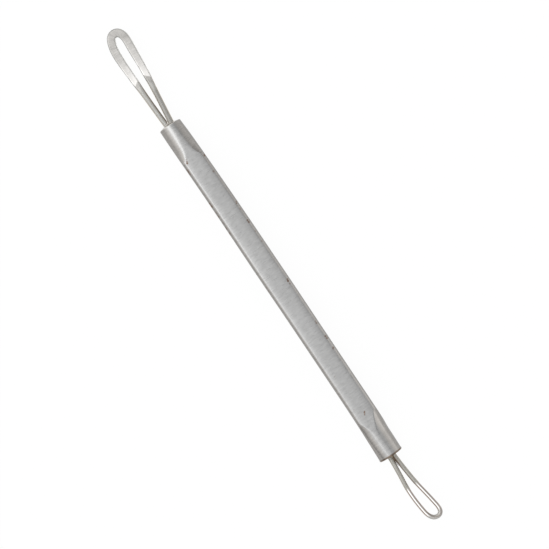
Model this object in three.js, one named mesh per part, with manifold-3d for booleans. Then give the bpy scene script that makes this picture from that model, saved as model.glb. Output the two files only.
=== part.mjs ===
// Double-ended loop extractor for blackheads: a square steel bar with both ends turned round,
// and a bent wire loop brazed into a blind bore in each end.
//
// Millimetres. +X runs along the handle from the large loop to the small one, +Z is up, and the
// origin is the centre of the bar's lower flat, on which the tool lies.

import * as THREE from "three";
import { mergeVertices } from "three/addons/utils/BufferGeometryUtils.js";
import Module from "manifold-3d";

// The bar
const handleLength = 80;
const handleThickness = 5.1;
const handleWidth = 5.1;
const longEdgeRadius = 0.65;

// Half-outline of the bar in plan, as [share of the length from the middle, share of the width]:
// hand finishing left it fullest near the middle and thinnest towards the large end.
const barOutlineShares = [
  [-0.5, 0.97],
  [-0.25, 0.998],
  [-0.02, 1.014],
  [0.11, 1],
  [0.2, 0.996],
  [0.31, 0.996],
  [0.4, 1.005],
  [0.5, 1.008],
];

// The bar also bows a little: past bowStart its middle moves towards +Y, by barBow from bowEnd on.
const barBow = 0.05;
const bowStart = -10;
const bowEnd = 6;

// The turned ends. Past the straight length the cutter drew away by taperRise over taperLength,
// then on an arc of runoutRadius, and from shoulderDepth it left the bar on an arc of
// shoulderRadius. This cuts the petals into the four flats.
// Each end leans sideways by sidewaysLean, from leanStart along the bar's half length. The turning
// itself runs out of true, sideways by turningDrift and down by turningDrop, which have both come
// in by driftLength from the face.
const largeEnd = {
  turnedDiameter: 4.8,
  straightLength: 0.6,
  taperLength: 5.2,
  taperRise: 0.24,
  runoutRadius: 12,
  shoulderDepth: 7.8,
  shoulderRadius: 1.6,
  faceCrown: 0.36,
  edgeBreak: 0.18,
  sidewaysLean: 0.35,
  leanStart: 12,
  turningDrift: 0,
  turningDrop: 0,
  driftLength: 5,
};
const smallEnd = {
  turnedDiameter: 5.2,
  straightLength: 0.4,
  taperLength: 5.2,
  taperRise: 0.18,
  runoutRadius: 19,
  shoulderDepth: 9.3,
  shoulderRadius: 1.2,
  faceCrown: 0.06,
  edgeBreak: 0.2,
  sidewaysLean: 0.29,
  leanStart: 27,
  turningDrift: -0.28,
  turningDrop: 0.2,
  driftLength: 5,
};

// The wire loops. reach is how far the loop stands out of the handle, and eyeWidth is the clear
// width of its eye. The two legs lie in the bore one a little above the other, by legRoll about
// the bore's axis, both off that axis by seatShift, and come out spreading by legSpread to each side.
const legGap = 0.04;
const largeLoop = {
  wireDiameter: 1.15,
  bandWidth: 1.72,
  bandThickness: 0.7,
  reach: 21.95,
  eyeWidth: 1.55,
  legRoll: 20,
  legSpread: 4.7,
  legDepth: 8,
  seatShift: 0,
  tipLean: 0.93,
};
const smallLoop = {
  wireDiameter: 0.93,
  bandWidth: 0.93,
  bandThickness: 0.93,
  reach: 15.7,
  eyeWidth: 1.86,
  legRoll: 8,
  legSpread: 2,
  legDepth: 7,
  seatShift: 0.04,
  tipLean: 1.07,
};

// The plan of each loop's centre line, as shares of its reach or half width: where the legs stop
// spreading, how long their curve handles are and how blunt the tip is.
const largePlanShares = {
  legEnd: 0.842,
  legStartHandle: 0.42,
  legFinishHandle: 0.24,
  tipSideHandle: 0.45,
  tipEndHandle: 0.82,
};
const smallPlanShares = {
  legEnd: 0.86,
  legStartHandle: 0.39,
  legFinishHandle: 0.38,
  tipSideHandle: 0.61,
  tipEndHandle: 0.68,
};

// How each loop leans to its side on the way out, as [share of the reach, share of tipLean].
const largeLeanShares = [
  [0, 0],
  [0.155, 0.147],
  [0.337, 0.33],
  [0.564, 0.528],
  [0.701, 0.597],
  [0.792, 0.697],
  [0.838, 0.794],
  [0.883, 0.917],
  [0.93, 0.977],
  [1, 1],
];
const smallLeanShares = [
  [0, 0],
  [0.35, 0],
  [0.417, 0],
  [0.5, 0.068],
  [0.6, 0.2],
  [0.7, 0.37],
  [0.8, 0.56],
  [0.9, 0.77],
  [1, 1],
];

// How far the planished flat of the large loop has gone, as [share of the reach back from the
// tip, share of the flattening]: full round the tip, slowly less, then quickly where it ends.
const planishShares = [
  [0, 1],
  [0.25, 1],
  [0.345, 0.76],
  [0.435, 0.58],
  [0.5, 0.52],
  [0.535, 0.42],
  [0.58, 0.22],
  [0.64, 0.09],
  [0.74, 0],
  [2, 0],
];
// The section of the flat is a superellipse: 2 is round, and this is the planished one.
const planishedPower = 5;
const roundPower = 2;

// The bores and the braze in them
const brazeWall = 0.18;
const brazeClearance = 0.04;
const boreBeyondLegs = 0.6;
const drillPointAngle = 118;
const fillHeight = 0.22;

// One overrun serves every cut.
const overrun = 0.4;

// How finely the curves are divided.
const turnedFacets = 48;
const boreFacets = 32;
const cornerFacets = 6;
const arcFacets = 6;
const runoutFacets = 12;
const barStations = 21;
const wireFacets = 16;
const slotFacets = 10;
const boreSteps = 3;
const legSteps = 18;
const tipSteps = 12;

const wasm = await Module();
wasm.setup();

// A closed mesh as a solid that can be cut and joined.
function solidOf(geometry) {
  const bare = geometry.clone();
  bare.deleteAttribute("normal");
  bare.deleteAttribute("uv");
  const merged = mergeVertices(bare);
  return new wasm.Manifold(
    new wasm.Mesh({
      numProp: 3,
      vertProperties: merged.attributes.position.array,
      triVerts: new Uint32Array(merged.index.array),
    }),
  );
}

// A solid back as a mesh.
function geometryOf(solid) {
  const mesh = solid.getMesh();
  const geometry = new THREE.BufferGeometry();
  geometry.setAttribute("position", new THREE.BufferAttribute(mesh.vertProperties, 3));
  geometry.setIndex(new THREE.BufferAttribute(mesh.triVerts, 1));
  return geometry;
}

// Skins a row of rings, each a list of as many points, and closes both ends flat.
function loft(rings) {
  const count = rings[0].length;
  const positions = [];
  const index = [];
  for (const ring of rings) {
    for (const point of ring) positions.push(point.x, point.y, point.z);
  }
  for (let r = 0; r + 1 < rings.length; r += 1) {
    for (let i = 0; i < count; i += 1) {
      const next = (i + 1) % count;
      const a = r * count + i;
      const b = r * count + next;
      index.push(a, b, b + count);
      index.push(a, b + count, a + count);
    }
  }
  const ends = [rings[0], rings[rings.length - 1]];
  ends.forEach((ring, which) => {
    const centre = new THREE.Vector3();
    for (const point of ring) centre.add(point);
    centre.divideScalar(count);
    const hub = positions.length / 3;
    positions.push(centre.x, centre.y, centre.z);
    const first = which === 0 ? 0 : (rings.length - 1) * count;
    for (let i = 0; i < count; i += 1) {
      const a = first + i;
      const b = first + ((i + 1) % count);
      if (which === 0) index.push(hub, b, a);
      else index.push(hub, a, b);
    }
  });
  const geometry = new THREE.BufferGeometry();
  geometry.setAttribute("position", new THREE.Float32BufferAttribute(positions, 3));
  geometry.setIndex(index);
  return geometry;
}

// A solid of revolution about X. The profile is a list of (radius, x) points, from low x to high.
function turned(profile, facets) {
  const geometry = new THREE.LatheGeometry(profile, facets);
  geometry.rotateZ(-Math.PI / 2);
  return solidOf(geometry);
}

// How far the handle stands to the side at a place along X: its bow, less the lean of that end.
// Past the handle both are kept.
function handleLean(x) {
  const end = x < 0 ? largeEnd : smallEnd;
  const run = handleLength / 2 - end.leanStart;
  const share = THREE.MathUtils.clamp((Math.abs(x) - end.leanStart) / run, 0, 1);
  return barBow * THREE.MathUtils.smoothstep(x, bowStart, bowEnd) - end.sidewaysLean * share ** 2;
}

// Moves each point of a mesh sideways with the handle.
function leaned(geometry) {
  const position = geometry.getAttribute("position");
  for (let i = 0; i < position.count; i += 1) {
    position.setY(i, position.getY(i) + handleLean(position.getX(i)));
  }
  return geometry;
}

// One cross section of the bar: a square with rounded corners, counter-clockwise seen from +X.
function barSection(x, halfWidth, halfThickness) {
  const ring = [];
  const cornerY = halfWidth - longEdgeRadius;
  const cornerZ = halfThickness - longEdgeRadius;
  for (let corner = 0; corner < 4; corner += 1) {
    const signY = corner === 0 || corner === 3 ? 1 : -1;
    const signZ = corner < 2 ? 1 : -1;
    for (let i = 0; i <= cornerFacets; i += 1) {
      const angle = (Math.PI / 2) * (corner + i / cornerFacets);
      const y = signY * cornerY + longEdgeRadius * Math.cos(angle);
      const z = signZ * cornerZ + longEdgeRadius * Math.sin(angle);
      ring.push(new THREE.Vector3(x, y, z));
    }
  }
  return ring;
}

// The square bar before its ends are turned, a little too long at both ends.
function bar() {
  const outline = new THREE.SplineCurve(
    barOutlineShares.map(
      ([along, wide]) =>
        new THREE.Vector2(along * (handleLength + 2 * overrun), (wide * handleWidth) / 2),
    ),
  );
  const stations = outline.getPoints(barStations);
  return solidOf(loft(stations.map((p) => barSection(p.x, p.y, handleThickness / 2))));
}

// Adds an arc to a profile from its last point, turning away from the axis between two angles.
function addArc(profile, radius, from, to) {
  const start = profile.at(-1).clone();
  for (let i = 1; i <= runoutFacets; i += 1) {
    const angle = THREE.MathUtils.lerp(from, to, i / runoutFacets);
    const out = start.x + radius * (Math.cos(from) - Math.cos(angle));
    const depth = start.y + radius * (Math.sin(angle) - Math.sin(from));
    profile.push(new THREE.Vector2(out, depth));
  }
}

// The turned profile of one end as (radius, depth in from the end face) points: a crowned face,
// a rounded rim, the turned cylinder, its taper, and the two arcs on which the cutter left.
function turnedEndProfile(end, outerRadius) {
  const profile = [];
  const radius = end.turnedDiameter / 2;
  const faceRadius = radius - end.edgeBreak;
  for (let i = 0; i < arcFacets; i += 1) {
    const share = i / arcFacets;
    profile.push(new THREE.Vector2(faceRadius * share, end.faceCrown * share ** 2));
  }
  for (let i = 0; i <= arcFacets; i += 1) {
    const angle = ((Math.PI / 2) * i) / arcFacets;
    const depth = end.faceCrown + end.edgeBreak * (1 - Math.cos(angle));
    profile.push(new THREE.Vector2(faceRadius + end.edgeBreak * Math.sin(angle), depth));
  }
  profile.push(new THREE.Vector2(radius, end.straightLength));
  const taperDepth = end.straightLength + end.taperLength;
  profile.push(new THREE.Vector2(radius + end.taperRise, taperDepth));
  const taper = Math.atan2(end.taperRise, end.taperLength);
  const along = (end.shoulderDepth - taperDepth) / end.runoutRadius;
  const shoulder = Math.asin(Math.sin(taper) + along);
  addArc(profile, end.runoutRadius, taper, shoulder);
  const left = (outerRadius - profile.at(-1).x) / end.shoulderRadius;
  const cosine = Math.cos(shoulder) - left;
  addArc(profile, end.shoulderRadius, shoulder, Math.acos(Math.max(cosine, 0)));
  if (cosine < 0) profile.push(new THREE.Vector2(outerRadius, profile.at(-1).y));
  return profile;
}

// Moves a point of the turning by how far it has run out of true there.
function drifted(point) {
  const end = point[0] < 0 ? largeEnd : smallEnd;
  const depth = handleLength / 2 - Math.abs(point[0]);
  const share = THREE.MathUtils.clamp(depth / end.driftLength, 0, 1);
  point[1] += end.turningDrift * share;
  point[2] -= end.turningDrop * share;
}

// Everything that the turning left standing: both turned ends, and a clear run between them.
function turningEnvelope() {
  const outerRadius = Math.hypot(handleWidth, handleThickness) / 2 + 2 * overrun;
  const large = turnedEndProfile(largeEnd, outerRadius);
  const small = turnedEndProfile(smallEnd, outerRadius).reverse();
  const profile = [
    ...large.map((p) => new THREE.Vector2(p.x, -handleLength / 2 + p.y)),
    ...small.map((p) => new THREE.Vector2(p.x, handleLength / 2 - p.y)),
  ];
  return turned(profile, turnedFacets).warp(drifted);
}

// The radius from the bore's axis at which each leg lies, and its two parts in the section.
function legSeat(loop) {
  const radius = (loop.wireDiameter + legGap) / 2;
  const roll = THREE.MathUtils.degToRad(loop.legRoll);
  return { radius, across: radius * Math.cos(roll), up: radius * Math.sin(roll) };
}

function boreRadius(loop) {
  return legSeat(loop).radius + loop.wireDiameter / 2 + brazeWall;
}

function boreDepth(loop) {
  return loop.legDepth + boreBeyondLegs;
}

// A drilled bore, or what fills it: its profile from the drill's point out past the end face.
// inset draws it in all round, and out is how far it stands past the end face at rim and axis.
function boreFill(loop, side, inset, rimOut, axisOut) {
  const radius = boreRadius(loop) - inset;
  const pointLength = radius / Math.tan(THREE.MathUtils.degToRad(drillPointAngle / 2));
  const depth = boreDepth(loop) - inset;
  const profile = [
    new THREE.Vector2(0, -depth - pointLength),
    new THREE.Vector2(radius, -depth),
    new THREE.Vector2(radius, rimOut),
    new THREE.Vector2(0, axisOut),
  ];
  const placed = profile.map((p) => new THREE.Vector2(p.x, side * (handleLength / 2 + p.y)));
  if (side < 0) placed.reverse();
  return turned(placed, boreFacets);
}

// The handle: the bar, turned at both ends and drilled at both ends.
function handle() {
  const rimOut = overrun;
  return bar()
    .intersect(turningEnvelope())
    .subtract(boreFill(largeLoop, -1, 0, rimOut, rimOut))
    .subtract(boreFill(smallLoop, 1, 0, rimOut, rimOut));
}

// A table of [place, value] read with straight lines between its rows.
function through(table, place) {
  for (let i = 1; i < table.length; i += 1) {
    const [from, before] = table[i - 1];
    const [to, after] = table[i];
    if (place <= to) return THREE.MathUtils.mapLinear(place, from, to, before, after);
  }
  return table.at(-1)[1];
}

// The centre line of a loop: in along one leg's seat, out, round the tip and back.
function centreLine(loop, plan, leanShares, side) {
  const seat = legSeat(loop);
  const tip = loop.reach - loop.bandWidth / 2;
  const legEnd = plan.legEnd * tip;
  const halfWidth = (loop.eyeWidth + loop.bandWidth) / 2;
  const spread = Math.tan(THREE.MathUtils.degToRad(loop.legSpread));
  const startHandle = plan.legStartHandle * legEnd;
  const finishHandle = plan.legFinishHandle * legEnd;
  const bend = loop.wireDiameter;
  const seatAcross = seat.across - (spread * bend) / 2;

  // A point by its way out of the end face, its distance from the loop's middle and its rise.
  const at = (out, across, up) => new THREE.Vector3(out, across, up);
  const inBore = new THREE.LineCurve3(
    at(-loop.legDepth, seatAcross, seat.up),
    at(-bend, seatAcross, seat.up),
  );
  const inMouth = new THREE.QuadraticBezierCurve3(
    at(-bend, seatAcross, seat.up),
    at(-bend / 2, seatAcross, seat.up),
    at(0, seat.across, seat.up),
  );
  const leg = new THREE.CubicBezierCurve3(
    at(0, seat.across, seat.up),
    at(startHandle, seat.across + spread * startHandle, seat.up),
    at(legEnd - finishHandle, halfWidth, 0),
    at(legEnd, halfWidth, 0),
  );
  const tipQuarter = new THREE.CubicBezierCurve3(
    at(legEnd, halfWidth, 0),
    at(legEnd + plan.tipSideHandle * (tip - legEnd), halfWidth, 0),
    at(tip, plan.tipEndHandle * halfWidth, 0),
    at(tip, 0, 0),
  );
  const half = [
    ...inBore.getPoints(boreSteps).slice(0, -1),
    ...inMouth.getPoints(boreSteps).slice(0, -1),
    ...leg.getPoints(legSteps).slice(0, -1),
    ...tipQuarter.getPoints(tipSteps),
  ];
  const other = half
    .slice(0, -1)
    .map((p) => at(p.x, -p.y, -p.z))
    .reverse();
  return [...half, ...other].map((p) => {
    const lean = loop.tipLean * through(leanShares, Math.max(p.x, 0) / loop.reach);
    return new THREE.Vector3(side * (handleLength / 2 + p.x), p.y + loop.seatShift + lean, p.z);
  });
}

// A loop's wire along its centre line.
function wire(loop, line) {
  const up = new THREE.Vector3(0, 0, 1);
  const rings = line.map((point, i) => {
    const before = line[Math.max(i - 1, 0)];
    const after = line[Math.min(i + 1, line.length - 1)];
    const along = after.clone().sub(before).normalize();
    const across = new THREE.Vector3().crossVectors(up, along).normalize();
    const rise = new THREE.Vector3().crossVectors(along, across);
    const back = handleLength / 2 + loop.reach - Math.abs(point.x);
    const flat = loop === largeLoop ? through(planishShares, back / loop.reach) : 0;
    const halfWidth = THREE.MathUtils.lerp(loop.wireDiameter, loop.bandWidth, flat) / 2;
    const halfHeight = THREE.MathUtils.lerp(loop.wireDiameter, loop.bandThickness, flat) / 2;
    const power = THREE.MathUtils.lerp(roundPower, planishedPower, flat);
    const ring = [];
    for (let k = 0; k < wireFacets; k += 1) {
      const angle = (2 * Math.PI * k) / wireFacets;
      const c = Math.cos(angle);
      const s = Math.sin(angle);
      const wide = halfWidth * Math.sign(c) * Math.abs(c) ** (2 / power);
      const high = halfHeight * Math.sign(s) * Math.abs(s) ** (2 / power);
      ring.push(point.clone().addScaledVector(across, wide).addScaledVector(rise, high));
    }
    return ring;
  });
  return solidOf(loft(rings));
}

// The slot that both legs share in the braze, from their ends out past the fillet.
function legSlot(loop, line, side) {
  const radius = loop.wireDiameter / 2 + brazeClearance;
  const along = new THREE.Vector3(side, 0, 0);
  const outside = handleLength / 2 + fillHeight + overrun;
  const last = line.findIndex((point) => Math.abs(point.x) > outside);
  const rings = [0, boreSteps, last].map((i) => {
    const one = line[i];
    const other = line[line.length - 1 - i];
    const apart = one.clone().sub(other).setX(0).normalize();
    const aside = new THREE.Vector3().crossVectors(along, apart);
    const ring = [];
    for (const [leg, turn] of [[one, -Math.PI / 2], [other, Math.PI / 2]]) {
      for (let k = 0; k <= slotFacets; k += 1) {
        const angle = turn + (Math.PI * k) / slotFacets;
        const point = leg.clone();
        point.addScaledVector(apart, radius * Math.cos(angle));
        point.addScaledVector(aside, radius * Math.sin(angle));
        ring.push(point);
      }
    }
    return ring;
  });
  for (const point of rings[0]) point.addScaledVector(along, -brazeClearance);
  return solidOf(loft(rings));
}

// The braze round the two legs: it fills the bore, and stands a little proud as a low fillet.
function braze(loop, end, side, line) {
  const faceAtRim = end.faceCrown * (boreRadius(loop) / (end.turnedDiameter / 2)) ** 2;
  const fill = boreFill(loop, side, brazeClearance, -faceAtRim, fillHeight);
  return fill.subtract(legSlot(loop, line, side));
}

const satinSteel = new THREE.MeshStandardMaterial({
  color: 0xb4b4b2,
  roughness: 0.38,
  metalness: 1,
});
const wireSteel = new THREE.MeshStandardMaterial({
  color: 0xc6c5c0,
  roughness: 0.28,
  metalness: 1,
});
const polishedWireSteel = new THREE.MeshStandardMaterial({
  color: 0xcfcdc8,
  roughness: 0.16,
  metalness: 1,
});
const brazeAlloy = new THREE.MeshStandardMaterial({
  color: 0xb8ad8a,
  roughness: 0.45,
  metalness: 1,
});

const largeLine = centreLine(largeLoop, largePlanShares, largeLeanShares, -1);
const smallLine = centreLine(smallLoop, smallPlanShares, smallLeanShares, 1);

// Everything is made about the bar's axis, and then lifted so that the lower flat is at z = 0.
const onItsFlat = new THREE.Group();
onItsFlat.position.z = handleThickness / 2;

function addPiece(name, solid, material) {
  const mesh = new THREE.Mesh(leaned(geometryOf(solid)), material);
  mesh.name = name;
  onItsFlat.add(mesh);
}

addPiece("handle", handle(), satinSteel);
addPiece("large_loop", wire(largeLoop, largeLine), wireSteel);
addPiece("small_loop", wire(smallLoop, smallLine), polishedWireSteel);
addPiece("large_loop_braze", braze(largeLoop, largeEnd, -1, largeLine), brazeAlloy);
addPiece("small_loop_braze", braze(smallLoop, smallEnd, 1, smallLine), brazeAlloy);

const extractor = new THREE.Group();
extractor.name = "blackhead_extractor";
extractor.add(onItsFlat);

export default extractor;
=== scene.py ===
import math

import bpy
import numpy as np
from bpy.props import FloatProperty, FloatVectorProperty, PointerProperty
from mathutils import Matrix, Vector


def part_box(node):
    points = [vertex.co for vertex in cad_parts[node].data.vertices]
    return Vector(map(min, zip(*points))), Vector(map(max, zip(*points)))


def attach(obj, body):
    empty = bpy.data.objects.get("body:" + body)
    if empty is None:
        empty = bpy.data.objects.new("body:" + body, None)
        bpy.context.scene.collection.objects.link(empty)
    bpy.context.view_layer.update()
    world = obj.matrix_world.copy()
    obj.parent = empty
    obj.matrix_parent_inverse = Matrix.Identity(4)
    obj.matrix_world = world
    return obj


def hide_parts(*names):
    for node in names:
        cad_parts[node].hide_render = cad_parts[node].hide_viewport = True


# Visual model of a double-ended loop extractor: a satin square bar with turned ends, a planished
# wire loop at one end, a small polished wire loop at the other, and the braze that holds them.
# Metres. +X runs along the handle from the large loop to the small one, and +Z is up.

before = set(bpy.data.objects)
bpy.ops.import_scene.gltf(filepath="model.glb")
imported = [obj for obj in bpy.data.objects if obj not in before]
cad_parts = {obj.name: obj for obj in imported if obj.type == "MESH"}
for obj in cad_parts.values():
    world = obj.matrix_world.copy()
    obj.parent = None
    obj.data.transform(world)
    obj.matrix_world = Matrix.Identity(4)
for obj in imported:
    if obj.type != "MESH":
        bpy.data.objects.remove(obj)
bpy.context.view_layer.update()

bl_info = {
    "name": "Loop extractor",
    "version": (1, 0, 0),
    "blender": (4, 5, 0),
    "location": "3D View > Sidebar > Extractor",
    "description": "Builds a double-ended loop extractor, its finishes and its studio",
    "category": "Object",
}

MM = 0.001
HANDLE_LOW, HANDLE_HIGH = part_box("handle")
LARGE_TIP_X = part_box("large_loop")[0].x
SMALL_TIP_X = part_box("small_loop")[1].x
HANDLE_LENGTH = 80 * MM
HANDLE_THICKNESS = HANDLE_HIGH.z - HANDLE_LOW.z
AXIS_HEIGHT = (HANDLE_HIGH.z + HANDLE_LOW.z) / 2
LARGE_SIDE = -1
SMALL_SIDE = 1

# Half-outline of the bar in plan, as (share of the length from the middle, share of the width).
BAR_OUTLINE_SHARES = (
    (-0.5, 0.97),
    (-0.25, 0.998),
    (-0.02, 1.014),
    (0.11, 1.0),
    (0.2, 0.996),
    (0.31, 0.996),
    (0.4, 1.005),
    (0.5, 1.008),
)
# Where the bar begins to bow to one side, where it has done so, and by how much.
BAR_BOW = (-10 * MM, 6 * MM, 0.05 * MM)

# The turned ends, in millimetres: past the straight length the cutter drew away by taper_rise
# over taper_length, then on an arc of runout_radius, and from shoulder_depth on one of
# shoulder_radius, which makes the petals. The turning runs out of true by drift and drop over
# drift_length. The braze creeps out between the legs of each loop by web, and up them by fillet.
LARGE_END = {
    "turned_radius": 2.4,
    "straight_length": 0.6,
    "taper_length": 5.2,
    "taper_rise": 0.24,
    "runout_radius": 12,
    "shoulder_depth": 7.8,
    "shoulder_radius": 1.6,
    "face_crown": 0.36,
    "edge_break": 0.18,
    "sideways_lean": 0.35,
    "lean_start": 12,
    "turning_drift": 0,
    "turning_drop": 0,
    "drift_length": 5,
    "crease": 0.2,
    "bore_radius": 1.35,
    "bore_depth": 8.6,
    "web": 0.4,
    "fillet": 0.4,
}
SMALL_END = {
    "turned_radius": 2.6,
    "straight_length": 0.4,
    "taper_length": 5.2,
    "taper_rise": 0.18,
    "runout_radius": 19,
    "shoulder_depth": 9.3,
    "shoulder_radius": 1.2,
    "face_crown": 0.06,
    "edge_break": 0.2,
    "sideways_lean": 0.29,
    "lean_start": 27,
    "turning_drift": -0.28,
    "turning_drop": 0.2,
    "drift_length": 5,
    "crease": 0.09,
    "bore_radius": 1.13,
    "bore_depth": 7.6,
    "web": 2.9,
    "fillet": 0.2,
}
# Depth of a drill's point as a share of its radius, and rounding of the bore's mouth in millimetres.
DRILL_POINT_SHARE = 0.6
BORE_RIM = 0.06
# How far the braze stands clear of its bore, how far it domes past the mouth, and how far apart
# the two legs of a loop lie in it.
BRAZE_GAP = 0.02 * MM
BRAZE_DOME = 0.02 * MM
LEG_GAP = 0.04 * MM

# The plan of each loop's centre line: where the leg ends, as a share of the reach, and the
# handles of its curves, as shares of the leg, of what is left to the tip, and of the half width.
LARGE_PLAN_SHARES = {
    "leg_end": 0.842,
    "leg_start_handle": 0.42,
    "leg_finish_handle": 0.24,
    "tip_side_handle": 0.45,
    "tip_end_handle": 0.82,
}
SMALL_PLAN_SHARES = {
    "leg_end": 0.86,
    "leg_start_handle": 0.39,
    "leg_finish_handle": 0.38,
    "tip_side_handle": 0.61,
    "tip_end_handle": 0.68,
}

# How each loop leans to its side on the way out, as (share of the reach, share of the lean).
LARGE_LEAN_SHARES = (
    (0, 0),
    (0.155, 0.147),
    (0.337, 0.33),
    (0.564, 0.528),
    (0.701, 0.597),
    (0.792, 0.697),
    (0.838, 0.794),
    (0.883, 0.917),
    (0.93, 0.977),
    (1, 1),
)
SMALL_LEAN_SHARES = (
    (0, 0),
    (0.35, 0),
    (0.417, 0),
    (0.5, 0.068),
    (0.6, 0.2),
    (0.7, 0.37),
    (0.8, 0.56),
    (0.9, 0.77),
    (1, 1),
)

# Where the wire is fully hammered its section is thinner by this share and squarer by this power.
# It reaches them at these shares of its full spread.
HAMMERED_THINNING = 0.18
HAMMERED_POWER = 3
THINNED_AT = 1 / 1.1
SQUARED_AT = 1 / 1.4

# How wide hammering has spread the large loop, as (share of the reach back from the tip, share
# of the spread).
SPREAD_SHARES = (
    (0, 1),
    (0.25, 1),
    (0.345, 0.76),
    (0.435, 0.58),
    (0.5, 0.52),
    (0.535, 0.42),
    (0.58, 0.22),
    (0.64, 0.09),
    (0.74, 0),
    (2, 0),
)
# Half height of the ground flat by the same share of the reach, as a share of the wire's radius.
GROUND_SHARES = (
    (0, 0.61),
    (0.3, 0.61),
    (0.36, 0.63),
    (0.525, 0.78),
    (0.575, 0.88),
    (0.66, 1.12),
    (2, 1.12),
)

# How bright the ground flat is painted, by the same share of the reach; where it is brightest, on its
# ramp towards the legs, this is a painted highlight.
HIGHLIGHT_SHARES = (
    (0, 0.28),
    (0.06, 0.25),
    (0.115, 0.16),
    (0.18, 0.28),
    (0.25, 0.41),
    (0.37, 0.53),
    (0.43, 0.72),
    (0.48, 0.94),
    (0.525, 1),
    (0.535, 0.15),
    (0.66, 0),
    (2, 0),
)

# Brown flecks on the upper side, as (x, y, radius) in millimetres and their strength.
FLECKS = (
    (-31.25, -1.68, 0.26, 1.0),
    (-31.5, -1.56, 0.24, 0.9),
    (-31.95, -1.38, 0.18, 0.5),
    (-30.7, 2.16, 0.36, 1.0),
    (-27.0, 1.82, 0.28, 0.6),
    (-30.1, -2.44, 0.36, 0.7),
    (-29.65, -2.44, 0.4, 0.8),
    (-29.15, -2.44, 0.36, 0.7),
    (-22.0, -2.44, 0.42, 0.9),
    (-21.4, -2.44, 0.45, 1.0),
    (-19.9, -2.44, 0.32, 0.6),
    (-19.0, -2.44, 0.38, 0.7),
    (-17.4, -2.44, 0.28, 0.5),
    (-16.1, -2.44, 0.38, 0.8),
    (-14.9, -2.44, 0.38, 0.8),
    (-19.5, 2.26, 0.28, 0.7),
    (-19.2, 2.08, 0.26, 0.7),
    (-17.8, 2.1, 0.32, 0.4),
    (-15.15, 2.04, 0.28, 0.9),
    (-14.7, 2.06, 0.3, 0.9),
    (-12.5, 2.1, 0.26, 0.4),
    (-10.1, 2.12, 0.26, 0.4),
    (-1.9, -2.44, 0.3, 0.4),
    (-1.0, -2.44, 0.3, 0.5),
    (6.8, -2.44, 0.26, 0.4),
    (-0.95, 2.12, 0.28, 0.8),
    (-0.6, 2.0, 0.3, 1.0),
    (0.05, 2.04, 0.24, 0.6),
    (9.1, 2.1, 0.26, 0.5),
    (9.5, 2.06, 0.28, 0.7),
    (12.7, 2.12, 0.3, 0.8),
    (13.2, 2.14, 0.3, 0.8),
    (15.45, 2.12, 0.26, 0.8),
    (15.62, 2.0, 0.24, 0.7),
    (29.6, 0.14, 0.25, 1.0),
    (29.8, 0.04, 0.2, 0.8),
    (30.08, -0.12, 0.2, 0.9),
    (20.44, -0.9, 0.14, 0.5),
    (28.07, -1.34, 0.16, 0.5),
)

# How bright the light from all round is, by how far sideways it comes from: -1 and 1 are the horizon
# on either side of the tool, and 0 is overhead. Each row is (place, level from beyond the large
# loop, level from beyond the small loop).
SKY_LEVELS = (
    (-1.0, 0.9, 0.05),
    (-0.95, 1.4, 0.4),
    (-0.85, 1.4, 1.0),
    (-0.65, 1.9, 1.0),
    (-0.5, 1.95, 1.1),
    (-0.2, 1.4, 1.8),
    (0.0, 0.95, 1.1),
    (0.2, 1.25, 0.4),
    (0.4, 1.0, 0.6),
    (0.65, 0.45, 1.1),
    (0.9, 0.6, 1.45),
    (1.0, 0.5, 1.95),
)
# The two sides of the sky blend between these parts of a direction along the tool.
SKY_BLEND = (-0.2, 0.2)

FLOOR_HALF = 4
FLOOR_GLOW_SHARE = 0.96
KEY_PLACE = (-110 * MM, -90 * MM, 320 * MM)
KEY_SIZE = (120 * MM, 260 * MM)
CAMERA_AIM = (-3.16 * MM, 0.48 * MM)
CAMERA_TURN = math.radians(56.22)
CAMERA_SENSOR = 36
WHITE = (1, 1, 1, 1)

# Where finishes, and the painted light and shade, change along the tool: each begins at the first
# place and is full at the second.
PAINTED_FLAT_SHADE = (0, -25 * MM)
PAINTED_FACE_LIGHT = (-39.45 * MM, -39.7 * MM)
DARKER_LEG_PLACE = (-48 * MM, -46.5 * MM)
HAMMERED_PART = (-48.4 * MM, -50.2 * MM)
SHADED_LEG = (-51.2 * MM, -49.8 * MM)
PAINTED_RIM_SHADE = (39.45 * MM, 39.7 * MM)
DARK_BROWN_BRAZE = (40 * MM, 40.3 * MM)
DARK_BROWN_ROOT_FLANK = (43.5 * MM, 41.5 * MM)
FINE_ROOT = (48 * MM, 46.9 * MM)
FINE_TIP = (53.7 * MM, 54.6 * MM)
# These two also fade again, from the third place to the fourth. The second lies across the tool, where
# the painted light on the large end's face is strongest, round the legs.
HAMMER_CREASE = (-51.5 * MM, -50.5 * MM, -48.8 * MM, -47.8 * MM)
PAINTED_FACE_LIGHT_ACROSS = (-2 * MM, -1.4 * MM, 0.8 * MM, 1.4 * MM)
# How far up the handle's surface faces where the painted reflection tint of its sides begins and is
# full.
PAINTED_SIDE_REFLECTION = (0.985, 0.87)
# Share of the light that the narrow sides and long edges keep: painted shade, by how far they face up.
PAINTED_SIDE_SHADE = 0.69

# The grain of each finish, in spots per metre along, across and up.
BRUSHED_GRAIN = (3600, 900, 900)
FINE_GRAIN = (13000, 2100, 2100)
CLOUDY_GRAIN = (90, 260, 260)
GROUND_STREAKS = (3000, 500, 500)
GROUND_CLOUDS = (700, 300, 300)
DRAWN_GRAIN = (500, 5200, 5200)
FINE_DRAWN_GRAIN = (500, 6500, 6500)
BRAZE_SPOTS = 2600
# The raggedness of the flecks, and the share of a fleck's radius within which it is full.
FLECK_EDGE_SPOTS = 3200
FLECK_SHIFT = 0.28 * MM
FLECK_CORE_SHARE = 0.45

# Length along either loop's wire, from its first end, past which it is on its second leg.
SECOND_LEG_START = 30.5 * MM

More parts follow.
